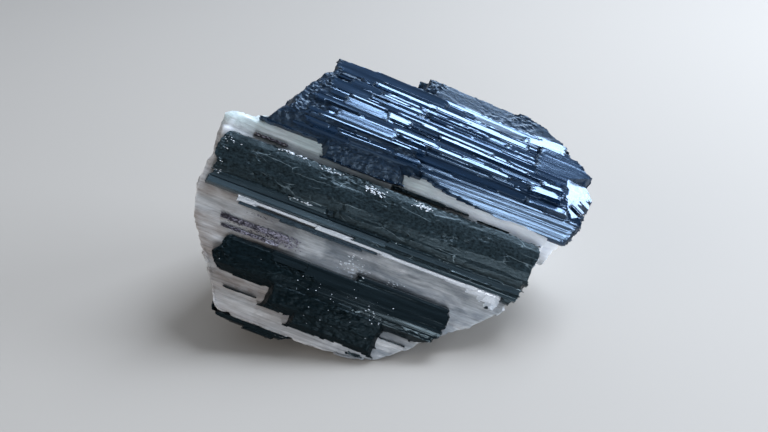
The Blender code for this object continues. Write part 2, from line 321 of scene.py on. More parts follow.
END_RAGGED = 0.45  # how unevenly a crystal's end breaks, in millimetres
END_WIDTH = 1.3  # how far in from there it is rough
SIDE_RAGGED = 0.15  # how uneven the side of a broken crystal is
WIDE_CRYSTAL = 3.0  # narrower ones break straighter, in proportion


def grid_over(crystals, along, across):
    """The spots of a grid a little larger than these crystals."""
    xs = np.arange(min(c.left for c in crystals) - 1, max(c.right for c in crystals) + 1, along)
    sides = [corner[0] for c in crystals for corner in c.corners]
    ys = np.arange(min(sides) - 4 * across, max(sides) + 4 * across, across)
    return np.stack(np.meshgrid(xs, ys, indexing="ij"), axis=-1)


def one_crystal(crystal, spots, limits, seed):
    """A crystal's underside and top at each spot, and how far in from its nearer end the spot lies."""
    x, y = spots[..., 0], spots[..., 1]
    width = np.ptp([corner[0] for corner in crystal.corners])
    sideways = SIDE_RAGGED * (swell(spots, (3.1, 30), seed) + 0.5 * swell(spots, (0.9, 30), seed))
    sideways *= crystal.broken * min(width / WIDE_CRYSTAL, 1)
    low, high = section_span(crystal.corners, y + sideways)
    high = high + crystal.rise * (x - (crystal.left + crystal.right) / 2)
    left, right = np.maximum(crystal.left, limits[0]), np.minimum(crystal.right, limits[1])
    reach = np.minimum(x - left, right - x) + END_RAGGED * swell(spots, (2.0, 0.5 + crystal.broken), seed)
    return low, np.minimum(high, low + reach * crystal.steep), reach


def lay_crystals(crystals, along, across, seed, ends=None):
    """Works out the sheet: for each spot of the grid, the top and foot of the crystals there.

    The ends, if given, are two lines of (across, along) points, left and right, that no crystal passes.
    """
    spots = grid_over(crystals, along, across)
    shape = spots.shape[:-1]
    limits = [line_at(line, spots[..., 1]) for line in ends] if ends else (-np.inf, np.inf)
    top, foot = np.full(shape, -np.inf), np.full(shape, np.inf)
    broken, near_end = np.zeros(shape), np.zeros(shape)
    for index, crystal in enumerate(crystals):
        low, high, reach = one_crystal(crystal, spots, limits, seed + index)
        here = (reach > 0) & (high > low)
        highest = here & (high > top)
        top = np.where(highest, high, top)
        foot = np.where(here, np.minimum(foot, low), foot)
        broken = np.where(highest, crystal.broken, broken)
        near_end = np.where(highest, np.clip(1 - reach / END_WIDTH, 0, 1), near_end)
    return Sheet(spots, top, foot, np.isfinite(top), broken, near_end)

# %% [markdown]
# A fine relief turns flat crystal faces into real ones. Striations are grooves a fifth of a millimetre apart
# that run on for centimetres; they fade into broader steps. Broken faces get flakes of two sizes on a slow
# swell.

# %% Relief on a sheet
# Each relief is its height, and its size along and across the crystals, in millimetres. The finest striations
# of real crystals are too fine to show, so the grooves start at a spacing of 0.17 mm.
GROOVES = [(0.010, (13, 0.17)), (0.026, (24, 0.42)), (0.05, (11, 1.3))]
SHELLS = (0.22, (8, 3.2))
SHELL_STEPS = (0.05, (5.5, 2.4))
CRUMBS = (0.13, (0.8, 0.55))
FINE_CRUMBS = (0.08, (0.36, 0.3))
GRIT = (0.012, (0.5, 0.35))
CRUMBLY_PATCH = (6, 2.0)


def frayed_share(sheet, upper_side, left_end):
    """1 on the bundle's upper side and left end, falling to 0 over these widths."""
    x, y = sheet.spots[..., 0], sheet.spots[..., 1]
    from_side = np.where(sheet.present, y, -99.0).max(axis=1, keepdims=True) - y
    from_end = x - np.where(sheet.present, x, 99.0).min(axis=0, keepdims=True)
    from_end = from_end + 1.2 * swell(sheet.spots, (3.0, 1.5), 5)
    side = 1 - ramp(from_side, 0.4 * upper_side, upper_side + 0.01)
    return np.maximum(side, 1 - ramp(from_end, 0.8 * left_end, left_end + 0.01))


def crystal_relief(sheet, seed, frayed, grooved):
    """How far each spot of a sheet's surface stands above its flat crystal face, in millimetres."""

    def raised(pattern, relief, number, *more):
        height, size = relief
        return height * pattern(sheet.spots, size, seed + number, *more)

    grooves = grooved * sum(raised(swell, relief, number) for number, relief in enumerate(GROOVES))
    patches = ramp(swell(sheet.spots, CRUMBLY_PATCH, seed + 6), 0.3, 0.6)
    crumbly = np.maximum.reduce([patches, sheet.near_end, frayed_share(sheet, *frayed), sheet.broken - 1])
    shells = raised(swell, SHELLS, 5) + raised(flakes, SHELL_STEPS, 3, 1.4)
    crumbs = raised(flakes, CRUMBS, 4) + raised(flakes, FINE_CRUMBS, 7)
    rough = np.maximum(np.minimum(sheet.broken, 1), 0.9 * sheet.near_end)
    return (1 - rough) * grooves + rough * (shells + crumbly * crumbs + raised(flakes, GRIT, 8))

# %% A smooth cut
RIPPLE = 0.05  # how far the face stands up and down
THINNEST = 0.3  # a crystal that a cut leaves thinner than this is gone


def cut_across(sheet, start, height, slope, lower_side, upper_side):
    """Cuts a sheet's right end with one smooth, faintly rippled, sloping face.

    Each side of the face is a place across the sheet, and how far it moves per millimetre to the right.
    """
    x, y = sheet.spots[..., 0], sheet.spots[..., 1]
    face = height - slope * (x - start) + RIPPLE * swell(sheet.spots, (7, 1.3), 9)
    first, last = (place + spread * (x - start) for place, spread in (lower_side, upper_side))
    cut = sheet.present & (face < sheet.top) & (y > first) & (y < last)
    gone = cut & (face < sheet.foot + THINNEST)
    whole = {"broken": np.where(cut, 0.0, sheet.broken), "near_end": np.where(cut, 0.0, sheet.near_end)}
    return sheet._replace(top=np.where(cut, face, sheet.top), present=sheet.present & ~gone, **whole)

# %% [markdown]
# A sheet becomes a mesh when neighbouring spots are joined, once over the tops and once over the undersides.
# Just outside the crystals both skins share one row of points, the rim, so the piece is closed all round.

# %% From sheet to mesh
FAN_START, FAN_END = 8.0, 15.0  # where across the crystals a fan sets in, and where it is whole
FAN_MIDDLE = 5.0  # the place along the crystals that it turns about


def rim_levels(sheet):
    """Where the two surfaces meet just outside the crystals: the mean middle depth of the spots beside."""
    middle = np.where(sheet.present, (sheet.top + sheet.foot) / 2, 0.0)
    total = np.zeros(middle.shape)
    count = np.zeros(middle.shape)
    for step in itertools.product((-1, 0, 1), repeat=2):
        total += np.roll(middle, step, (0, 1))
        count += np.roll(sheet.present, step, (0, 1))
    return np.where(count > 0, total / np.maximum(count, 1), 0.0), count > 0


def close_sheet(sheet, relief, lean, fan):
    """The sheet as points in the crystal frame and quads, with one flag per quad for a broken face.

    A fan is how much the crystals spread, as a slope, away from the sheet's lower side.
    """
    rim, near = rim_levels(sheet)
    top = np.where(sheet.present, sheet.top + relief, rim)
    foot = np.where(sheet.present, sheet.foot, rim)
    number = np.full(near.shape, -1)
    number[near] = np.arange(near.sum())
    under = number.copy()
    under[sheet.present] = near.sum() + np.arange(sheet.present.sum())
    x, y = sheet.spots[..., 0], sheet.spots[..., 1]
    flat = np.concatenate([np.stack([x[near], y[near], top[near]], 1),
                           np.stack([x[sheet.present], y[sheet.present], foot[sheet.present]], 1)])
    cells = np.zeros(near.shape, bool)
    cells[:-1, :-1] = (sheet.present[:-1, :-1] | sheet.present[1:, :-1]
                       | sheet.present[:-1, 1:] | sheet.present[1:, 1:])
    i, j = np.nonzero(cells)
    over = np.stack([number[i, j], number[i + 1, j], number[i + 1, j + 1], number[i, j + 1]], 1)
    below = np.stack([under[i, j], under[i, j + 1], under[i + 1, j + 1], under[i + 1, j]], 1)
    broken = np.maximum(sheet.broken, sheet.near_end)[i, j] > 0.5
    flat[:, 1] += fan * ramp(flat[:, 1], FAN_START, FAN_END) * (flat[:, 0] - FAN_MIDDLE)
    points = np.stack([flat[:, 0],
                       flat[:, 1] * math.cos(lean) + flat[:, 2] * math.sin(lean),
                       flat[:, 2] * math.cos(lean) - flat[:, 1] * math.sin(lean)], 1)
    return points, np.concatenate([over, below]), np.concatenate([broken, broken])

# %% A whole bundle
def place_mesh(name, points, faces, materials, second=None):
    """A piece from points in crystal-frame millimetres. Faces flagged second take the second material."""
    mesh = bpy.data.meshes.new(name)
    mesh.from_pydata(into_place(points).tolist(), [], faces.tolist())
    for material in materials:
        mesh.materials.append(material)
    if second is not None:
        mesh.polygons.foreach_set("material_index", second.astype(np.int32))
    mesh.shade_smooth()
    mesh.set_sharp_from_angle(angle=math.radians(38))
    return add_object(name, mesh)


def grow_bundle(name, rows, materials, lean=0.0, along=0.22, across=0.15, seed=1, ends=None, fan=0.0,
                frayed=(0.0, 0.0), cut=None, grooved=1.0):
    """A whole bundle: its crystals laid, given their relief, closed and placed, leaning back by its lean."""
    crystals = [Crystal(*row) for row in rows]
    sheet = lay_crystals(crystals, along, across, seed, ends)
    if cut:
        sheet = cut_across(sheet, **cut)
    points, faces, broken = close_sheet(sheet, crystal_relief(sheet, seed, frayed, grooved), lean, fan)
    made = place_mesh(name, points, faces, materials, broken)
    print(f"{name}: {len(crystals)} crystals, {len(faces)} faces")
    return made


def settle(piece, node=None):
    """Fixes a finished piece to the stone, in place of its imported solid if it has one."""
    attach(piece, "root")
    if node:
        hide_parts(node)

# %% [markdown]
# ## Tourmaline's finish
#
# Schorl is a boron silicate, opaque black, with a glassy lustre: an IOR near 1.64 and nearly no colour of its
# own. Its growth faces are smooth between the striations, so they mirror the light in long streaks. Where it
# broke it has a duller, sooty look with sparks. Two materials hold that, one striated and one broken, each in
# a few shades. The blue shades are painted sky light on the upper bundle, and the slate one is painted light
# on the middle bundle's dim growth faces.

# %% Striated tourmaline
SCHORL_IOR = 1.64


def along_crystals(tree, size):
    """Texture coordinates in units of a size in millimetres along and across the crystals."""
    place = add_node(tree, "TexCoord").outputs["Object"]
    frame_of = {"Location": FRAME_PLACE * MM, "Rotation": CRYSTAL_TILT, "Scale": [s * MM for s in size]}
    return add_node(tree, "Mapping", {"Vector": place}, frame_of, vector_type="TEXTURE")


def uneven_surface(tree, patches, grain, gloss, relief):
    """The links of a surface whose roughness follows one texture and whose fine relief follows another.

    The gloss is the least and most roughness, and the relief its strength and its depth in millimetres.
    """
    rough = add_node(tree, "MapRange", {"Value": patches},
                     {"From Min": 0.3, "From Max": 0.7, "To Min": gloss[0], "To Max": gloss[1]})
    bump = add_node(tree, "Bump", {"Height": grain}, {"Strength": relief[0], "Distance": relief[1] * MM})
    return {"Roughness": rough, "Normal": bump}


def striated_schorl(name, body, veined, sheen, strength):
    """Growth faces: glassy and nearly black, with grooves finer than the mesh holds.

    The body has lighter veins, and the sheen tints what the faces mirror, by this strength.
    """
    material, tree, shader = new_material(name)
    veins = add_node(tree, "TexNoise", {"Vector": along_crystals(tree, (9, 0.5, 0.5))},
                     {"Scale": 1.0, "Detail": 3.0, "Roughness": 0.6})
    tone = add_node(tree, "Mix", {"Factor": veins}, {"A": linear(body), "B": linear(veined)},
                    data_type="RGBA")
    grooves = add_node(tree, "TexNoise", {"Vector": along_crystals(tree, (6, 0.11, 0.11))}, {"Scale": 1.0})
    surface = uneven_surface(tree, veins, grooves, (0.12, 0.30), (0.55, 0.03))
    fill_sockets(tree, shader, {"Base Color": tone, **surface},
                 {"IOR": SCHORL_IOR, "Specular IOR Level": strength, "Specular Tint": linear(sheen)})
    return material

# %% Broken tourmaline
def hairlines(tree):
    """1 along fine cracks, in patches, where a film of quartz has healed the crystal; 0 elsewhere."""
    place = along_crystals(tree, (6.5, 1.7, 1.7))
    drift = add_node(tree, "TexNoise", {"Vector": place}, {"Scale": 1.6, "Detail": 3.0})
    bent = add_node(tree, "VectorMath", {0: drift.outputs["Color"], 2: place}, {1: (0.5, 0.5, 0.5)},
                    operation="MULTIPLY_ADD")
    cells = add_node(tree, "TexVoronoi", {"Vector": bent}, {"Scale": 1.0}, feature="DISTANCE_TO_EDGE")
    line = add_node(tree, "MapRange", {"Value": cells.outputs["Distance"]},
                    {"From Min": 0.006, "From Max": 0.022, "To Min": 1.0, "To Max": 0.0})
    patches = add_node(tree, "TexNoise", {"Vector": place}, {"Scale": 0.9})
    shown = add_node(tree, "MapRange", {"Value": patches},
                     {"From Min": 0.48, "From Max": 0.60, "To Max": 0.75})
    return add_node(tree, "Math", {0: line, 1: shown}, operation="MULTIPLY")


def broken_schorl(name, body, dust, crack, strength, sheen="#BFDCE8"):
    """Broken faces: sooty black with a faint green cast, sparks from tiny flakes, and hairline cracks."""
    material, tree, shader = new_material(name)
    grain = add_node(tree, "TexNoise", {"Vector": along_crystals(tree, (0.5, 0.35, 0.35))},
                     {"Scale": 1.0, "Detail": 5.0, "Roughness": 0.65})
    dusty = add_node(tree, "MapRange", {"Value": grain}, {"From Min": 0.36, "From Max": 0.64})
    tone = add_node(tree, "Mix", {"Factor": dusty}, {"A": linear(body), "B": linear(dust)}, data_type="RGBA")
    cracked = add_node(tree, "Mix", {"Factor": hairlines(tree), "A": tone}, {"B": linear(crack)},
                       data_type="RGBA")
    surface = uneven_surface(tree, grain, grain, (0.26, 0.48), (0.6, 0.08))
    fill_sockets(tree, shader, {"Base Color": cracked, **surface},
                 {"IOR": SCHORL_IOR, "Specular IOR Level": strength, "Specular Tint": linear(sheen)})
    return material

# %% The shades of tourmaline, some with painted light
BROKEN_SCHORL = broken_schorl("broken schorl", "#05090A", "#212D32", "#76858B", 0.30)
DULL_SCHORL = broken_schorl("dull broken schorl", "#020607", "#0A1519", "#222E32", 0.10)
# Painted sky light: the bluish body, dust and cracks, and the blue tint of the reflections, stand in for blue
# sky light on the upper bundle.
PAINTED_SKY_BROKEN_SCHORL = broken_schorl("broken schorl with painted sky light", "#080F18", "#1F3248", "#2A4058", 0.45, "#B6D2EA")
VEILED_SCHORL = broken_schorl("veiled schorl", "#1B252D", "#3E4C57", "#5A6A74", 0.30)
# Painted sky light: the navy body and veins and the blue sheen of the upper bundle's growth faces stand in
# for the blue sky they mirror.
PAINTED_SKY_SCHORL = (striated_schorl("striated schorl with painted sky light", "#050C16", "#122E4C", "#B4D6FA", 1.0), PAINTED_SKY_BROKEN_SCHORL)
# Painted light: the lighter slate body brightens the middle bundle's growth faces, which the lamps leave dim.
PAINTED_LIGHT_SLATE_SCHORL = (striated_schorl("striated schorl with painted light", "#121E25", "#34464F", "#CFE4EC", 1.0), BROKEN_SCHORL)
SOOTY_SCHORL = (striated_schorl("sooty striated schorl", "#05090B", "#121D22", "#B9D0D8", 0.35), DULL_SCHORL)
print("materials so far:", ", ".join(sorted(material.name for material in bpy.data.materials)))

# %% [markdown]
# ## The upper bundle
#
# The largest bundle lies on the quartz's shoulder. Its crystals have grown into one slab that leans back, so
# its sections are given in the slab's own plane: u across the crystals, v out of the slab. One broad core
# carries the shape. Over it lie strips, the single faces of the crystals, each with its own tilt: the strips
# that face the window are the bright streaks, and those that face the room are the dark ones between.

# %% The core, and the strips that stand out
# Sections are (u, v) points, and the lines of the two ends are (u, x) points.
UPPER_LEAN = math.radians(21.2)
BEND = 3.0  # left of this x the bundle's lower side is steep, right of it there is a broad bevel
BEVEL_TOP = 12.0
CREST = [(14.2, 7.1), (17.2, 7.1), (20.2, 6.6), (22.8, 6.4), (26.0, 5.9), (27.2, 4.9)]
LEFT_CREST = [(6.6, 2.9), (7.7, 4.2), (9.0, 6.0), (10.2, 6.8)] + CREST
RIGHT_CREST = [(6.4, 2.5), (8.4, 4.5), (BEVEL_TOP, 6.8)] + CREST
CORE_TOP = [(10.2, 6.45), (14.2, 6.75), (17.2, 6.75), (20.2, 6.3), (22.8, 6.1), (26.0, 5.5), (27.2, 4.5),
            (28.2, 2.4), (28.1, 0.3), (24.0, 0.1), (18.0, 0.5), (11.5, 0.6)]
LEFT_CORE = [(7.9, 1.4), (7.7, 3.9), (9.0, 5.7)] + CORE_TOP
RIGHT_CORE = [(8.3, 1.0), (8.4, 4.4), (BEVEL_TOP, 6.5)] + CORE_TOP[1:]
LUMP = [(5.8, 0.7), (5.5, 2.7), (6.3, 3.7), (7.4, 4.4), (9.7, 5.2), (10.0, 1.0)]
UPPER_LEFT_END = [(5.0, -14.0), (7.3, -15.0), (7.5, -26.4), (8.1, -26.0), (12.2, -24.2), (18.4, -21.6),
                  (20.4, -20.2), (20.7, -18.2), (22.3, -17.8), (22.7, -10.6), (23.4, -9.9), (24.0, -4.2),
                  (24.3, -2.6), (29.0, -2.0)]
UPPER_RIGHT_END = [(5.0, 31.0), (6.8, 32.0), (8.5, 32.6), (9.8, 32.9), (12.6, 32.7), (13.6, 33.6),
                   (15.6, 34.3), (17.6, 34.9), (18.6, 34.0), (19.1, 32.7), (20.1, 31.0), (21.1, 29.5),
                   (22.8, 27.9), (24.6, 26.4), (26.4, 22.6), (27.4, 18.2), (29.0, 16.0)]

# Each strip: its two ends as (x, u), its half width, its tilt in degrees and how far it stands above the
# crest. Some go on with how broken they are, and how much they rise for each millimetre to the right.
STRIPS = [
    ((-16.5, 10.9), (0.9, 10.2), 0.13, 14, 0.12),
    ((-12.6, 9.1), (-2.6, 8.9), 0.14, 14, 0.45),
    ((-13.0, 16.5), (-5.6, 16.2), 0.16, 14, 0.15),
    ((-13.8, 14.9), (-5.4, 15.1), 0.75, 5, 0.16),
    ((-6.0, 15.3), (-1.1, 15.2), 0.60, 11, 0.20),
    ((-4.1, 13.5), (4.9, 12.3), 0.30, 14, 0.15),
    ((-9.8, 21.2), (2.5, 20.6), 0.28, 14, 0.10),
    ((-6.8, 19.7), (2.8, 19.4), 0.25, 12, 0.05),
    ((-4.2, 16.2), (3.7, 16.3), 0.14, 14, 0.10),
    ((-14.5, 12.1), (-2.5, 11.9), 0.80, 3, 0.18),
    ((0.1, 16.3), (14.5, 14.9), 0.22, 14, 0.15),
    ((4.0, 14.6), (21.1, 14.4), 0.28, 14, 0.18),
    ((1.1, 13.0), (18.6, 11.8), 0.34, 14, 0.15),
    ((21.6, 11.9), (28.0, 11.7), 0.74, 12, 0.40, 0.0, 0.08),
    ((23.3, 13.4), (27.8, 13.3), 0.38, 12, 0.30, 0.0, 0.08),
    ((-0.9, 19.8), (5.0, 19.2), 0.18, 14, 0.10),
    ((9.4, 21.4), (13.4, 21.1), 0.20, 14, 0.08),
    ((-0.5, 23.1), (7.4, 21.7), 0.18, 14, 0.08),
    ((6.8, 10.1), (13.4, 9.7), 0.12, 14, 0.12),
    ((22.0, 9.9), (29.8, 9.8), 0.60, 12, 0.75, 0.0, 0.07),
    ((5.0, 10.4), (29.0, 10.1), 0.10, 14, 0.06),
    ((29.9, 9.0), (32.7, 9.4), 0.40, 14, 0.00),
    ((19.3, 21.9), (27.0, 21.9), 1.20, 11, 0.22, 0.0, 0.05),
    ((21.6, 17.4), (33.4, 17.4), 2.90, -2, 0.40),
    ((-17.6, 22.2), (4.0, 22.2), 1.30, -12, 0.10),
    ((-14.6, 19.3), (-7.5, 19.0), 0.60, -14, 0.12),
    ((-17.6, 17.9), (-9.0, 17.6), 0.85, -12, 0.12),
    ((-1.0, 25.1), (17.5, 25.1), 1.30, -2, 0.16, 0.7),
    ((16.5, 25.1), (28.0, 25.1), 1.30, -6, 0.16, 0.7),
    ((0.5, 23.6), (28.0, 23.6), 0.80, -3, 0.12, 0.6),
    ((2.0, 22.6), (21.5, 22.5), 0.45, -1, 0.10),
    ((9.0, 21.6), (19.0, 21.4), 0.55, 3, 0.08, 0.6),
]
UPPER_FAN = -0.05
print("strips set by hand:", len(STRIPS))

# %% One strip
STRIP_DEPTH = 1.4


def flat_strip(left, right, u, v, half, tilt, broken=0.0, rise=0.0):
    """One flat face of crystal, by its middle and half its width. A positive tilt turns it to the window."""
    drop = half * math.tan(math.radians(tilt))
    foot = v - STRIP_DEPTH
    corners = [(u - half, foot), (u - half, v + drop), (u + half, v - drop), (u + half, foot)]
    return Crystal(left, right, corners, broken, rise=rise)


def strip(start, end, half, tilt, lift, broken=0.0, rise=0.0):
    """A flat strip on the crest or on the bevel, from the (x, u) of its start to its end."""
    middle = (start[1] + end[1]) / 2
    middle -= UPPER_FAN * ramp(middle, FAN_START, FAN_END) * ((start[0] + end[0]) / 2 - FAN_MIDDLE)
    if (start[0] + end[0]) / 2 > BEND:
        level = line_at(RIGHT_CREST, middle) + lift
        return flat_strip(start[0], end[0], middle, level, half, tilt, broken, rise)
    right = end[0] if middle > BEVEL_TOP else min(end[0], BEND)
    level = line_at(LEFT_CREST, middle) + lift
    return flat_strip(start[0], right, middle, level, half, tilt, broken, rise)

# %% [markdown]
# Between the strips listed above lie well over a hundred lesser ones. A seeded random generator places them,
# so they are the same on every run, and the ranges below say how wide, long and tilted they are.

# %% The strips that are left to chance
LOOSE_STRIPS = 110
LOOSE_ACROSS = (8.2, 22.5)
LOOSE_HALF_WIDTHS = (0.12, 0.5)
BEVEL_TILTS = (-28, -20)
CREST_TILT, TILT_SPREAD, MOST_TILT = -8, 9, 9
FINE_STREAKS = 46
STREAK_HALF_WIDTHS = (0.07, 0.11)
WINDOW_TILT = 14  # turns a face so that it mirrors the window
EDGE_ACROSS = (6.4, 8.5, 0.2)  # from, to and step in u
EDGE_START = [(6.4, 17.0), (6.9, 11.0), (7.6, 6.6), (8.4, 2.0)]  # (u, x) where the bright lower edge sets in
EDGE_TILTS = (-41, -44, -47, -36, -52)


def loose_strips():
    """The many lesser strips between them, of any length, most turned away from the window."""
    chance = random.Random(5)
    made = []
    for _ in range(LOOSE_STRIPS):
        u = chance.uniform(*LOOSE_ACROSS)
        left, right = line_at(UPPER_LEFT_END, u), line_at(UPPER_RIGHT_END, u)
        ends = sorted(chance.uniform(left + 1, right + 7) for _ in range(2))
        ends[0] = max(ends[0] - 5, left + chance.uniform(4.0, 8.0))
        if ends[1] - ends[0] > 2:
            on_bevel = u < BEVEL_TOP and sum(ends) / 2 > BEND
            half = chance.uniform(*LOOSE_HALF_WIDTHS)
            tilt = chance.uniform(*BEVEL_TILTS) if on_bevel else chance.gauss(CREST_TILT, TILT_SPREAD)
            tilt = min(tilt, MOST_TILT)
            made.append(strip((ends[0], u), (ends[1], u), half, tilt, chance.uniform(-0.3, 0.1)))
    return made


def lower_edge():
    """The bundle's rounded lower edge: narrow faces that mirror what stands low in front of the stone."""
    chance = random.Random(12)
    made = []
    for u in np.arange(*EDGE_ACROSS):
        start = line_at(EDGE_START, u) + chance.uniform(-0.5, 1.0)
        level = line_at(RIGHT_CREST, u) + chance.uniform(-0.05, 0.05)
        made.append(flat_strip(start, 33.0, u, level, 0.13, chance.choice(EDGE_TILTS)))
    return made


def fine_streaks():
    """Hair-thin faces between them that all catch the window."""
    chance = random.Random(31)
    made = []
    for _ in range(FINE_STREAKS):
        u, start, length = chance.uniform(9.5, 23.0), chance.uniform(-18, 28), chance.uniform(2.5, 12)
        start = max(start, line_at(UPPER_LEFT_END, u) + 8)
        half, lift = chance.uniform(*STREAK_HALF_WIDTHS), chance.uniform(0.05, 0.16)
        made.append(strip((start, u), (start + length, u), half, WINDOW_TILT, lift))
    return made

# %% The upper bundle
UPPER_CUT = {"start": 28.3, "height": 7.1, "slope": 0.66,
             "lower_side": (7.4, 1.0), "upper_side": (17.2, 0.48)}
upper_crystals = [(-27.0, 3.6, LEFT_CORE, 1.0, 2.0), (1.0, 36.0, RIGHT_CORE, 0.0, 2.0),
                  (-15.4, 1.4, LUMP, 1.3, 2.0)]
upper_crystals += lower_edge() + [strip(*row) for row in STRIPS] + loose_strips() + fine_streaks()
upper = grow_bundle("upper_bundle", upper_crystals, PAINTED_SKY_SCHORL, UPPER_LEAN, along=0.24, across=0.13, seed=3,
                    ends=(UPPER_LEFT_END, UPPER_RIGHT_END), fan=UPPER_FAN, frayed=(0.0, 5.0), cut=UPPER_CUT)
settle(upper, "upper_tourmaline_bundle")

# %% [markdown]
# ## The middle and lower bundles
#
# These two lie in the front face itself. Their broad faces are broken, not grown, so they are dull and
# hackly, while a narrow growth face along one edge stays striated and picks up the light from above. Both are
# sheets like the upper one, but they don't lean, so their sections are plain (y, z) points.

# %% The middle bundle
MIDDLE_COLUMNS = [
    (-32.0, 28.2, [(-2.7, -2.4), (-2.8, 1.4), (-2.6, 2.3), (-1.9, 2.65), (-0.6, 2.95), (1.6, 2.8),
                   (3.3, 2.4), (4.4, 1.9), (4.6, 0.4), (4.4, -2.0)], 1.0),
    (-9.5, 28.0, [(-3.7, -2.4), (-3.8, 1.5), (-3.4, 2.2), (-2.6, 2.6), (-1.6, 2.6), (-1.5, -2.4)],
     1.0, 3.0),
    (-16.8, -9.0, [(-3.4, -2.4), (-3.5, 1.9), (-2.6, 2.3), (-1.9, 2.3), (-1.8, -2.4)]),
    (-32.0, 3.0, [(-5.6, -1.6), (-5.6, 0.6), (-5.15, 1.84), (-4.1, 1.50), (-3.9, 1.0), (-2.7, 1.1),
                  (-2.6, -2.4)]),
    (-4.0, 27.0, [(-6.1, -1.6), (-6.15, 0.4), (-6.0, 1.2), (-5.3, 1.14), (-5.2, -1.6)]),
    (-1.0, 27.2, [(-5.5, -1.6), (-5.5, 1.5), (-4.8, 1.46), (-4.7, -1.6)], 0.6),
    (1.5, 27.2, [(-4.9, -1.6), (-4.95, 1.72), (-4.1, 1.64), (-3.4, 1.3), (-3.3, -1.6)]),
    (13.0, 21.5, [(-5.0, -1.0), (-5.0, 2.00), (-4.75, 1.93), (-4.75, -1.0)]),
    (24.1, 26.6, [(-6.9, -1.6), (-6.9, 0.3), (-6.6, 0.8), (-6.0, 1.0), (-5.9, -1.6)], 0.7),
]
MIDDLE_LEFT_END = [(-6.9, -31.0), (-5.9, -31.6), (-3.0, -31.1), (-1.0, -31.2), (1.5, -31.6), (4.2, -30.6),
                   (4.7, -29.6)]
MIDDLE_RIGHT_END = [(-7.9, 25.0), (-5.4, 27.0), (-2.7, 27.9), (0.6, 27.6), (2.7, 27.8), (4.7, 27.4)]
middle = grow_bundle("middle_bundle", MIDDLE_COLUMNS, PAINTED_LIGHT_SLATE_SCHORL, across=0.13, seed=23, frayed=(0.25, 1.6),
                     ends=(MIDDLE_LEFT_END, MIDDLE_RIGHT_END), grooved=1.8)
settle(middle, "middle_tourmaline_bundle")

# %% The lower bundle
LOWER_COLUMNS = [
    (-25.6, 1.0, [(-18.5, -1.8), (-18.7, 0.2), (-17.4, 1.6), (-15.6, 1.8), (-12.9, 1.55), (-12.3, 0.7),
                  (-12.1, -1.4)], 1.1),
    (-16.0, 0.5, [(-13.9, -1.4), (-13.9, 1.80), (-12.3, 1.48), (-12.15, 0.3), (-12.0, -1.4)]),
    (-5.0, 16.8, [(-18.6, -1.8), (-18.7, 0.2), (-17.6, 1.6), (-16.6, 1.6), (-16.5, -1.4)], 0.5),
    (-8.0, 17.0, [(-16.8, -1.8), (-16.8, 1.7), (-15.4, 1.85), (-14.2, 1.8), (-14.0, -1.4)]),
    (-10.0, 17.0, [(-14.4, -1.8), (-14.3, 1.80), (-12.4, 1.62), (-12.25, 0.4), (-12.1, -1.4)]),
    (-0.8, 17.0, [(-12.9, -1.4), (-12.9, 1.68), (-11.2, 1.44), (-11.05, 0.3), (-10.9, -1.4)]),
    (-15.2, 7.8, [(-21.8, -1.8), (-22.0, 0.5), (-20.6, 1.7), (-17.6, 1.9), (-16.4, -2.0)], 1.25, 2.0),
    (-9.9, 6.8, [(-23.3, -1.2), (-23.5, 0.3), (-22.6, 1.2), (-20.0, 1.7), (-19.8, -1.8)], 1.25, 2.0),
]
LOWER_LEFT_END = [(-24.0, -12.3), (-19.0, -18.6), (-18.5, -23.9), (-17.7, -25.0), (-16.1, -25.5),
                  (-13.9, -25.1), (-12.5, -24.0), (-12.0, -23.0)]
LOWER_RIGHT_END = [(-24.0, 6.6), (-19.2, 7.6), (-18.6, 12.6), (-17.5, 15.6), (-15.4, 16.6), (-13.2, 17.2),
                   (-10.9, 16.3)]
lower = grow_bundle("lower_bundle", LOWER_COLUMNS, SOOTY_SCHORL, across=0.13, seed=41, frayed=(0.0, 2.0),
                    ends=(LOWER_LEFT_END, LOWER_RIGHT_END), grooved=2.2)
settle(lower, "lower_tourmaline_bundle")

# %% [markdown]
# ## The quartz
#
# Massive vein quartz: milky because it is full of tiny fluid bubbles, clearer towards thin edges, with a
# greasy lustre. It has no crystal faces here, only broken ones, and where tourmaline has come away it keeps
# the cast of the striations as fine ridges. Two rough blocks, cut to nearly the same outlines as the solid,
# are fused, worn round and given the same broad relief; then the fine relief is worked out point by point.

# %% The outlines of the two blocks
FRONT_OUTLINE = [  # (x, y) corners
    (-32.6, 6.4), (-30.6, 8.1), (-25.6, 9.2), (31.6, 9.4), (31.6, 6.2), (27.9, 2.2), (26.4, -6.2),
    (24.6, -9.3), (20.5, -13.5), (17.0, -16.1), (12.6, -20.4), (8.6, -23.8), (4.6, -25.0), (-1.0, -25.8),
    (-20.8, -25.9), (-22.7, -24.2), (-24.4, -20.6), (-28.6, -15.4), (-31.4, -11.0), (-32.9, -5.0),
    (-33.4, 1.5),
]
BLOCK_DEPTH = 42.0
SHOULDER_SECTION = [  # (y, z) corners
    (2.0, -6.0), (8.9, -1.0), (24.6, -7.4), (26.6, -11.0), (25.0, -18.0), (12.0, -28.0), (2.0, -28.0),
]
SHOULDER_ENDS = (-27.0, 33.0)

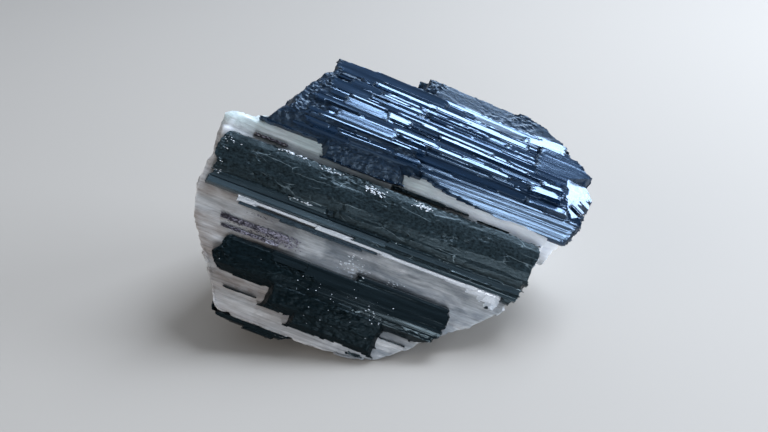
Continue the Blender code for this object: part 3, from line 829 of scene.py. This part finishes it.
# Each cleave is a point on a plane and the plane's outward direction.
BLOCK_CLEAVES = [
    ((-32.5, -5.0, -2.0), (-0.92, 0.06, -0.38)),  # left end
    ((-27.0, -18.0, -1.0), (-0.80, -0.52, -0.30)),  # left end, lower part
    ((-31.8, 0.0, 0.0), (-0.66, 0.10, 0.74)),  # worn left edge of the front
    ((-28.0, 8.8, -0.3), (-0.20, 0.93, -0.05)),  # roof at the left end
    ((-28.0, 8.2, 0.0), (-0.12, 0.70, 0.70)),  # worn upper edge
    ((0.0, -25.9, -0.6), (0.0, -0.94, -0.34)),  # underside
    ((0.0, -25.2, 0.0), (0.0, -0.66, 0.75)),  # worn lower edge
    ((17.0, -16.0, -0.5), (0.64, -0.75, -0.18)),  # lower right end
    ((27.9, 2.2, -0.5), (0.95, -0.17, -0.22)),  # right end
]
SHOULDER_CLEAVES = [
    ((-24.3, 9.4, -1.0), (-0.84, 0.53, -0.10)),  # left end
    ((31.4, 12.0, -3.0), (0.95, 0.05, -0.31)),  # right end
    ((29.0, 22.0, -6.0), (0.66, 0.68, -0.30)),  # upper right corner
]
BACK_CLEAVES = [
    ((0.0, 10.0, -22.6), (0.05, 0.50, -0.86)),  # back, upper part
    ((0.0, -2.0, -33.0), (0.06, -0.05, -1.00)),  # back, lower part
    ((26.0, 5.0, -16.0), (0.74, 0.12, -0.66)),  # back right corner
    ((-24.0, 0.0, -18.0), (-0.70, 0.10, -0.70)),  # back left corner
    ((-16.0, -20.0, -20.0), (-0.50, -0.62, -0.60)),  # under the left end
]

# %% [markdown]
# Each block is a straight prism of its outline, brought to shape by one flat break after another, as the
# stone was. A boolean joins them, a voxel remesh gives them even, fine points, and smoothing and soft noise
# wear them.

# %% Cutting a block
def prism(outline, along_x, start, end):
    """A straight prism: along x over (y, z) corners, or along z over (x, y) corners."""
    bm = bmesh.new()
    corners = [bm.verts.new((start, *corner) if along_x else (*corner, start)) for corner in outline]
    bm.faces.new(corners)
    grown = bmesh.ops.extrude_face_region(bm, geom=bm.faces[:])["geom"]
    tips = [item for item in grown if isinstance(item, bmesh.types.BMVert)]
    step = Vector((end - start, 0, 0)) if along_x else Vector((0, 0, end - start))
    bmesh.ops.translate(bm, vec=step, verts=tips)
    return bm


def cleave(bm, point, outward):
    """Cuts away what lies beyond a plane, and closes the cut."""
    geometry = bm.verts[:] + bm.edges[:] + bm.faces[:]
    cut = bmesh.ops.bisect_plane(bm, geom=geometry, dist=1e-5, plane_co=point, plane_no=outward,
                                 clear_outer=True)
    rim = [item for item in cut["geom_cut"] if isinstance(item, bmesh.types.BMEdge)]
    bmesh.ops.holes_fill(bm, edges=rim, sides=0)


def rough_block(name, bm, cleaves):
    """One block, cleaved to shape, as an object in crystal-frame millimetres."""
    for point, outward in cleaves + BACK_CLEAVES:
        cleave(bm, Vector(point), Vector(outward))
    bmesh.ops.recalc_face_normals(bm, faces=bm.faces)
    mesh = bpy.data.meshes.new(name)
    bm.to_mesh(mesh)
    bm.free()
    return add_object(name, mesh)

# %% Fusing the blocks
QUARTZ_STEP = 0.42  # the spacing of the quartz's surface points, in millimetres
RELIEF_HEIGHT = 1.1
RELIEF_MIDDLE = 0.62
RELIEF_SIZE = (14.0, 5.0, 5.0)


def add_modifier(piece, kind, **settings):
    """One modifier with its settings."""
    made = piece.modifiers.new(kind, kind)
    for name, value in settings.items():
        setattr(made, name, value)


def fused_blocks():
    """The two blocks as one fine mesh, worn round, with the broad relief that the solid has too."""
    block = rough_block("quartz block", prism(FRONT_OUTLINE, False, -BLOCK_DEPTH, 0.0), BLOCK_CLEAVES)
    shoulder = rough_block("quartz shoulder", prism(SHOULDER_SECTION, True, *SHOULDER_ENDS), SHOULDER_CLEAVES)
    guide = add_object("relief guide", None)
    guide.scale = RELIEF_SIZE
    ridges = bpy.data.textures.new("ridges", "CLOUDS")
    ridges.noise_scale = 1.0
    add_modifier(block, "BOOLEAN", operation="UNION", object=shoulder)
    add_modifier(block, "REMESH", mode="VOXEL", voxel_size=QUARTZ_STEP)
    add_modifier(block, "SMOOTH", iterations=6)
    add_modifier(block, "DISPLACE", texture=ridges, texture_coords="OBJECT", texture_coords_object=guide,
                 strength=RELIEF_HEIGHT, mid_level=RELIEF_MIDDLE)
    bpy.context.view_layer.update()
    fine = bpy.data.meshes.new_from_object(block.evaluated_get(bpy.context.evaluated_depsgraph_get()))
    for helper in (block, shoulder, guide):
        bpy.data.objects.remove(helper)
    return fine

# %% The quartz's fine relief
STEP_HEIGHT = 0.14
STEPS = 3.2  # how many steps a slow swell is cut into, each way
WEAR = 0.1
CORNER, CORNER_SPREAD, CORNER_HEIGHT = (-33.0, 6.0), 12, 1.4  # the swollen corner at the upper left


def quartz_relief(points, normals):
    """How far each point of the quartz stands above its worn surface, in millimetres."""
    front = ramp(normals[:, 2], 0.45, 0.8)
    casts = 0.08 * swell(points, (14, 0.5, 0.6), 61) + 0.14 * swell(points, (18, 1.1, 1.4), 62)
    steps = STEPS * swell(points, (22, 3.4, 4.0), 63)
    casts += STEP_HEIGHT * (np.floor(steps) + ramp(steps - np.floor(steps), 0.86, 1.0))
    broken = 0.26 * flakes(points, (3.2, 2.4, 2.4), 64, 1.4) + 0.08 * flakes(points, (1.1, 0.9, 0.9), 65)
    from_corner = (points[:, 0] - CORNER[0]) ** 2 + (points[:, 1] - CORNER[1]) ** 2
    return front * casts + (1 - front) * broken - WEAR + CORNER_HEIGHT * np.exp(-from_corner / CORNER_SPREAD)


def mesh_arrays(mesh):
    """A mesh's points and vertex normals as arrays."""
    points = np.empty(len(mesh.vertices) * 3)
    normals = np.empty(len(mesh.vertices) * 3)
    mesh.vertices.foreach_get("co", points)
    mesh.vertex_normals.foreach_get("vector", normals)
    return points.reshape(-1, 3), normals.reshape(-1, 3)


def grow_quartz():
    """The whole matrix, flat where it rests."""
    mesh = fused_blocks()
    points, normals = mesh_arrays(mesh)
    world = into_place(points + normals * quartz_relief(points, normals)[:, None])
    world = np.clip(world, *np.array(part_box("quartz_matrix")))
    mesh.vertices.foreach_set("co", world.ravel())
    bm = bmesh.new()
    bm.from_mesh(mesh)
    cleave(bm, Vector((0, 0, 0)), Vector((0, 0, -1)))
    bmesh.ops.recalc_face_normals(bm, faces=bm.faces)
    bm.to_mesh(mesh)
    bm.free()
    mesh.materials.clear()
    mesh.materials.append(MILKY_QUARTZ)
    mesh.shade_smooth()
    mesh.set_sharp_from_angle(angle=math.radians(45))
    print("quartz:", len(mesh.polygons), "faces")
    return add_object("quartz", mesh)

# %% [markdown]
# Milky quartz scatters light inside, so it takes subsurface scattering under a clear surface with quartz's
# IOR of 1.544. The milk is uneven: white veils a few millimetres across, and warmer at the left end. The
# paler colour along the top and in the seam towards the right is painted light. The other way, a volume full
# of bubbles, would take far longer to render.

# %% The stone's tone, with painted light at the top
QUARTZ_IOR = 1.544


def stone_tone_with_painted_top_light(tree, spot, place):
    """The stone below its veils: warm at the left end, cool further in, and pale at the top, which is painted
    light.
    """
    inwards = add_node(tree, "VectorMath", {0: spot}, {1: (1.0, 0.8, 0.0)}, operation="DOT_PRODUCT")
    cool = add_node(tree, "MapRange", {"Value": inwards}, {"From Min": -30.0, "From Max": -16.0})
    stone = add_node(tree, "Mix", {"Factor": cool}, {"A": linear("#978F89"), "B": linear("#7F868C")},
                     data_type="RGBA")
    # Painted light: pale along the top, as if lit from above, fading to the stone's own tone lower down.
    below_painted_top_light = add_node(tree, "MapRange", {"Value": place.outputs["Y"]}, {"From Min": 6.9, "From Max": 4.6})
    return add_node(tree, "Mix", {"Factor": below_painted_top_light, "B": stone}, {"A": linear("#CDDBDB")}, data_type="RGBA")


def veiled(tree, stone):
    """The stone's tone under white veils, and streaked lighter and darker along the crystals."""
    veils = add_node(tree, "TexNoise", {"Vector": along_crystals(tree, (9, 3.5, 3.5))},
                     {"Scale": 1.0, "Detail": 5.0, "Roughness": 0.62, "Distortion": 0.4})
    white = add_node(tree, "MapRange", {"Value": veils}, {"From Min": 0.4, "From Max": 0.72, "To Max": 0.85})
    milk = add_node(tree, "Mix", {"Factor": white, "A": stone}, {"B": linear("#D6D9DA")}, data_type="RGBA")
    streaks = add_node(tree, "TexNoise", {"Vector": along_crystals(tree, (12, 0.4, 0.4))},
                       {"Scale": 1.0, "Detail": 5.0, "Roughness": 0.75})
    shade = add_node(tree, "MapRange", {"Value": streaks},
                     {"From Min": 0.3, "From Max": 0.7, "To Min": 0.58, "To Max": 1.24})
    return add_node(tree, "VectorMath", {0: milk, "Scale": shade}, operation="SCALE")


def crushed_and_painted_light_share(tree, place):
    """1 where the quartz is whitest: crushed where it stands out in front, and painted light in the seam
    towards the right.
    """
    crushed = add_node(tree, "MapRange", {"Value": place.outputs["Z"]}, {"From Min": 0.35, "From Max": 0.85})
    # Painted light: the seam grows whiter towards the right, as if brightly lit there.
    painted_light_right = add_node(tree, "MapRange", {"Value": place.outputs["X"]}, {"From Max": 26.0, "To Max": 0.75})
    seam = add_node(tree, "MapRange", {"Value": place.outputs["Y"]}, {"From Min": 2.5, "From Max": 4.5})
    painted_light_in_seam = add_node(tree, "Math", {0: painted_light_right, 1: seam}, operation="MULTIPLY")
    return add_node(tree, "Math", {0: painted_light_in_seam, 1: crushed}, operation="MAXIMUM")

# %% Milky and crushed quartz
def milky_quartz():
    """The matrix: uneven milk, painted light on top and in the seam, under a clear, greasy, finely ridged
    surface.
    """
    material, tree, shader = new_material("milky quartz")
    spot = along_crystals(tree, (1, 1, 1))
    place = add_node(tree, "SeparateXYZ", {"Vector": spot})
    milk = veiled(tree, stone_tone_with_painted_top_light(tree, spot, place))
    # Mixes in white where the quartz is crushed, and painted light in the seam's right.
    tone = add_node(tree, "Mix", {"Factor": crushed_and_painted_light_share(tree, place), "A": milk},
                    {"B": linear("#F4F9FF")}, data_type="RGBA")
    grain = add_node(tree, "TexNoise", {"Vector": along_crystals(tree, (2.2, 0.35, 0.35))},
                     {"Scale": 1.0, "Detail": 4.0, "Roughness": 0.6})
    surface = uneven_surface(tree, grain, grain, (0.22, 0.5), (0.5, 0.08))
    fill_sockets(tree, shader, {"Base Color": tone, **surface},
                 {"IOR": QUARTZ_IOR, "Subsurface Weight": 0.65, "Subsurface Radius": (1.0, 0.95, 0.9),
                  "Subsurface Scale": 1.6 * MM})
    return material


def crushed_quartz():
    """Small chips: white where they are crushed, glassy where a face is whole."""
    material, tree, shader = new_material("crushed quartz")
    fine = add_node(tree, "TexNoise", {"Vector": along_crystals(tree, (0.3, 0.3, 0.3))}, {"Scale": 1.0})
    tone = add_node(tree, "Mix", {"Factor": fine}, {"A": linear("#BAC4CE"), "B": linear("#EEF3F8")},
                    data_type="RGBA")
    fill_sockets(tree, shader, {"Base Color": tone}, {"Roughness": 0.12, "IOR": QUARTZ_IOR})
    return material


MILKY_QUARTZ = milky_quartz()
CRUSHED_QUARTZ = crushed_quartz()
quartz = grow_quartz()
settle(quartz, "quartz_matrix")

# %% [markdown]
# Below the middle bundle a ledge of crushed, snow-white quartz is left, where a crystal was torn away. It
# runs along the crystals and breaks like them, so it is made in the same way, as a bundle of a few flat
# columns that widen to a blocky right end.

# %% The crushed ledge
LEDGE_COLUMNS = [
    (-25.0, -21.6, [(-6.6, -0.8), (-6.5, 0.6), (-6.0, 0.9), (-5.5, 1.0), (-5.4, -0.5)], 1.3),
    (-24.0, -12.6, [(-6.1, -0.8), (-6.05, 0.7), (-5.8, 0.9), (-5.55, 0.9), (-5.45, -0.5)], 0.3),
    (-14.0, -9.0, [(-6.15, -0.8), (-6.1, 0.5), (-5.8, 0.7), (-5.6, 0.7), (-5.5, -0.5)], 0.3),
    (-10.6, 4.0, [(-6.45, -0.8), (-6.4, 0.7), (-6.1, 0.98), (-5.6, 1.0), (-5.5, -0.5)], 0.3),
    (2.0, 17.0, [(-6.7, -0.8), (-6.65, 0.7), (-6.4, 0.95), (-6.1, 1.0), (-5.9, -0.5)], 0.3),
    (13.6, 24.8, [(-6.9, -0.8), (-6.7, 0.5), (-6.4, 0.9), (-6.1, 0.95), (-5.9, -0.5)], 1.2, 1.0),
    (17.8, 24.9, [(-7.4, -0.8), (-7.1, 0.5), (-6.6, 1.0), (-6.2, 1.1), (-6.0, -0.5)], 1.3, 1.0),
    (19.8, 24.6, [(-8.0, -0.9), (-7.7, 0.5), (-7.0, 0.9), (-6.6, 1.1), (-6.4, -0.5)], 1.3, 1.0),
    (21.4, 24.1, [(-8.8, -0.9), (-8.5, 0.4), (-7.7, 0.8), (-7.1, 1.0), (-6.9, -0.5)], 1.3, 1.0),
]
ledge = grow_bundle("quartz_ledge", LEDGE_COLUMNS, (CRUSHED_QUARTZ, CRUSHED_QUARTZ), along=0.15, across=0.08,
                    seed=71)
settle(ledge)

# %% [markdown]
# ## Blades, needles and the crystals at the back
#
# Smaller crystals lie in the quartz on their own. Most show only as a narrow dark strip level with its
# surface; three are thin enough to let brown-violet light through, and crumble away to the right. One fills
# a groove in the back. Each is a small bundle of one to three crystals, so one table and one loop make them.

# %% Smoky tourmaline
def smoky_schorl():
    """Thin blades, dark violet where whole and speckled with milk where they crumble, to the right."""
    material, tree, shader = new_material("smoky schorl")
    specks = add_node(tree, "TexNoise", {"Vector": along_crystals(tree, (0.42, 0.24, 0.24))},
                      {"Scale": 1.0, "Detail": 3.0, "Roughness": 0.6})
    place = add_node(tree, "SeparateXYZ", {"Vector": along_crystals(tree, (1, 1, 1))})
    to_the_right = add_node(tree, "MapRange", {"Value": place.outputs["X"]},
                            {"From Min": -26.0, "From Max": -13.0, "To Min": -0.06, "To Max": 0.12})
    milky = add_node(tree, "Math", {0: specks, 1: to_the_right}, operation="ADD")
    share = add_node(tree, "MapRange", {"Value": milky}, {"From Min": 0.48, "From Max": 0.62})
    tone = add_node(tree, "Mix", {"Factor": share}, {"A": linear("#16121D"), "B": linear("#8A8794")},
                    data_type="RGBA")
    bump = add_node(tree, "Bump", {"Height": specks}, {"Strength": 0.5, "Distance": 0.06 * MM})
    fill_sockets(tree, shader, {"Base Color": tone, "Normal": bump}, {"Roughness": 0.3, "IOR": SCHORL_IOR})
    return material


SMOKY_SCHORL = smoky_schorl()
print("materials:", ", ".join(sorted(material.name for material in bpy.data.materials)))

# %% The single crystals
BLACK_CRYSTALS = {
    "back_tourmaline_crystal": [
        (-16.5, 19.0, [(14.6, -19.4), (13.8, -22.2), (11.2, -23.4), (8.6, -22.4), (8.4, -19.0),
                       (11.4, -17.6)]),
        (-10.0, 13.5, [(16.8, -17.8), (16.2, -20.2), (14.2, -21.2), (12.6, -20.0), (12.6, -17.4),
                       (14.8, -16.4)]),
    ],
    "ledge_blade": [
        (-25.0, -9.0, [(-7.0, -1.8), (-7.0, 0.30), (-6.7, 0.45), (-6.4, 0.4), (-6.3, -1.8)], 0.6),
        (-17.0, -1.0, [(-7.3, -1.8), (-7.3, 0.25), (-7.1, 0.40), (-6.9, 0.4), (-6.8, -1.8)], 0.7),
        (-19.5, 1.4, [(-6.9, -1.8), (-6.9, 0.30), (-6.7, 0.45), (-6.5, 0.4), (-6.4, -1.8)], 0.4),
    ],
    "left_needle": [(-22.1, -15.5, [(-21.2, -0.9), (-21.2, 0.40), (-20.95, 0.45), (-20.95, -0.9)], 0.4)],
    "right_needle": [(6.4, 11.4, [(-20.1, -0.9), (-20.1, 0.35), (-19.85, 0.40), (-19.85, -0.9)], 0.4)],
    "seam_blade_middle": [
        (-0.4, 9.6, [(4.95, -1.0), (4.95, 0.45), (5.3, 0.55), (5.6, 0.5), (5.7, -1.0)], 0.8),
        (8.0, 14.3, [(5.2, -1.0), (5.2, 0.5), (5.45, 0.55), (5.45, -1.0)], 0.8),
    ],
    "seam_needle_right": [(15.8, 21.6, [(4.85, -0.9), (4.85, 0.40), (5.1, 0.45), (5.1, -0.9)], 0.6)],
}
SMOKY_CRYSTALS = {
    "smoky_blade_upper": [(-26.6, -14.0, [(-10.2, -1.6), (-10.2, 0.40), (-9.3, 0.45), (-9.2, -1.6)], 1.2)],
    "smoky_blade_lower": [(-26.5, -15.0, [(-11.6, -1.6), (-11.6, 0.40), (-11.0, 0.45), (-10.9, -1.6)], 1.2)],
    "seam_blade_left": [(-26.7, -20.4, [(5.3, -1.4), (5.3, 0.40), (5.8, 0.50), (5.8, -1.4)], 1.4)],
}
FINISHES = {"ledge_blade": (VEILED_SCHORL, VEILED_SCHORL), "black_tourmaline": SOOTY_SCHORL,
            "smoky_tourmaline": (SMOKY_SCHORL, SMOKY_SCHORL)}
for slot, group in (("black_tourmaline", BLACK_CRYSTALS), ("smoky_tourmaline", SMOKY_CRYSTALS)):
    for index, (node, columns) in enumerate(group.items()):
        finish = FINISHES.get(node, FINISHES[slot])
        piece = grow_bundle(node + "_look", columns, finish, along=0.15, across=0.07, seed=90 + 7 * index)
        settle(piece, node)

# %% [markdown]
# One more blade closes the lower left edge like a thin black rind. Its ends taper, so lines give them.

# %% The blade along the lower left edge
BOTTOM_COLUMNS = [
    (-23.6, -5.0, [(-24.6, -4.6), (-25.3, -1.6), (-25.5, -0.3), (-26.2, -0.6), (-26.6, -1.6),
                   (-25.9, -4.4)], 0.7),
    (-16.6, -10.4, [(-25.0, -4.6), (-25.5, -0.7), (-26.7, -0.9), (-26.95, -1.5), (-26.3, -4.2)], 1.0),
    (-22.7, -21.7, [(-23.2, -2.6), (-23.3, -1.2), (-25.5, -0.6), (-25.8, -2.6)], 0.5),
]
BOTTOM_LEFT_END = [(-27.4, -16.4), (-26.5, -19.0), (-26.1, -21.8), (-25.0, -22.7), (-23.4, -22.9)]
BOTTOM_RIGHT_END = [(-27.4, -12.0), (-26.8, -10.8), (-26.3, -9.2), (-25.3, -6.0), (-23.4, -5.8)]
bottom = grow_bundle("bottom_tourmaline_blade_look", BOTTOM_COLUMNS, SOOTY_SCHORL, along=0.15, across=0.09,
                     seed=63, ends=(BOTTOM_LEFT_END, BOTTOM_RIGHT_END))
settle(bottom, "bottom_tourmaline_blade")

# %% [markdown]
# ## Crumbs
#
# Bits of quartz still cling to the black crystals and catch the light, most of them along the middle bundle's
# upper edge, and crushed quartz sparkles on the matrix. Beyond the smoky blades the crystal has crumbled into
# a cloud of dark grains. Each kind is one mesh of small angular lumps, let down onto whatever surface lies
# below and sunk in a little.

# %% Where crumbs lie
START_HEIGHT = 25  # above every surface, in millimetres


def lump_shape():
    """The points and triangles of an icosahedron, which each crumb distorts."""
    bm = bmesh.new()
    bmesh.ops.create_icosphere(bm, subdivisions=1, radius=1.0)
    points = np.array([v.co[:] for v in bm.verts])
    faces = np.array([[v.index for v in f.verts] for f in bm.faces])
    bm.free()
    return points, faces


def surface_below(spots, pieces):
    """The highest point of these pieces' surfaces at each (x, y), in crystal-frame millimetres."""
    trees = [BVHTree.FromPolygons([v.co for v in mesh.vertices], [p.vertices for p in mesh.polygons])
             for mesh in (piece.data for piece in pieces)]
    down = CRYSTAL_TURN @ Vector((0, 0, -1))
    found = []
    for x, y in spots:
        start = (CRYSTAL_TURN @ Vector((x, y, START_HEIGHT)) + FRAME_PLACE) * MM
        depths = [tree.ray_cast(start, down)[3] for tree in trees]
        depths = [depth for depth in depths if depth is not None]
        if depths:
            found.append((x, y, START_HEIGHT - min(depths) / MM))
    return found

# %% Laying crumbs
CRUMB_SHAPE = np.array([1.2, 0.8, 0.6])  # how long, wide and thick a crumb is
CRUMB_LIE = np.array([1.5, 0.8, 0.8])  # and how much it is drawn out along the crystals
SUNK = 0.25  # how far below the surface its middle lies, in its radii


def scatter_crumbs(name, groups, material, onto, seed):
    """One mesh of crumbs. A group is a count, two opposite (x, y) corners, and the least and most radius."""
    chance = random.Random(seed)
    wanted = [((chance.triangular(x0, x1), chance.triangular(y0, y1)), chance.uniform(*sizes))
              for count, (x0, y0), (x1, y1), sizes in groups for _ in range(count)]
    lump_points, lump_faces = lump_shape()
    points, faces = [], []
    for (_, size), spot in zip(wanted, surface_below([place for place, _ in wanted], onto)):
        turn = np.array(Euler([chance.uniform(0, math.tau) for _ in range(3)]).to_matrix())
        uneven = np.array([chance.uniform(0.6, 1.25) for _ in lump_points])[:, None]
        lump = (lump_points * uneven * CRUMB_SHAPE) @ turn.T * size * CRUMB_LIE
        faces.append(lump_faces + len(lump_points) * len(points))
        points.append(lump + np.array(spot) - np.array([0, 0, SUNK * size]))
    made = place_mesh(name, np.concatenate(points), np.concatenate(faces), [material])
    made.data.shade_flat()
    print(f"{name}: {len(points)} crumbs")
    return made

# %% Clinging quartz, and dark grains
CLINGING_QUARTZ = [
    (10, (-31.0, 2.2), (-27.0, 3.4), (0.08, 0.20)),
    (34, (-21.8, 4.6), (-15.4, 4.0), (0.10, 0.26)),
    (22, (-14.0, 4.4), (-8.6, 3.5), (0.08, 0.22)),
    (46, (-5.6, 4.0), (-0.8, 2.6), (0.10, 0.24)),
    (40, (3.8, 4.4), (8.2, 3.0), (0.10, 0.26)),
    (26, (14.8, 5.6), (18.0, 4.6), (0.08, 0.20)),
    (9, (-31.0, 3.6), (-28.0, -4.5), (0.08, 0.22)),
    (12, (-17.2, -2.6), (-9.4, -3.2), (0.12, 0.30)),
    (18, (-24.6, -13.0), (15.0, -18.0), (0.05, 0.14)),
    (14, (2.4, -15.2), (6.0, -18.4), (0.05, 0.16)),
    (8, (-14.0, -18.0), (5.5, -22.5), (0.05, 0.13)),
]
LOOSE_QUARTZ = [
    (46, (-5.9, -8.2), (1.6, -12.4), (0.12, 0.34)),
    (14, (4.0, -10.0), (8.5, -11.2), (0.12, 0.30)),
    (18, (19.5, -6.8), (25.0, -8.4), (0.15, 0.40)),
]
SMOKY_GRAINS = [
    (420, (-21.0, -9.0), (-11.2, -11.3), (0.08, 0.26)),
    (60, (-26.0, -9.2), (-20.0, -11.5), (0.06, 0.16)),
    (50, (-23.0, -7.4), (-17.0, -8.0), (0.06, 0.14)),
]
BLACK_GRAINS = [
    (3, (22.1, -8.4), (22.5, -8.8), (0.30, 0.45)),
    (10, (1.8, -24.4), (4.6, -24.0), (0.35, 0.60)),
]
clinging = scatter_crumbs("clinging_quartz", CLINGING_QUARTZ + LOOSE_QUARTZ, CRUSHED_QUARTZ,
                          [middle, lower, quartz], 8)
settle(clinging)
smoky_grains = scatter_crumbs("smoky_grains", SMOKY_GRAINS, SMOKY_SCHORL, [quartz], 9)
settle(smoky_grains)
black_grains = scatter_crumbs("black_grains", BLACK_GRAINS, BROKEN_SCHORL, [quartz, ledge], 10)
settle(black_grains)
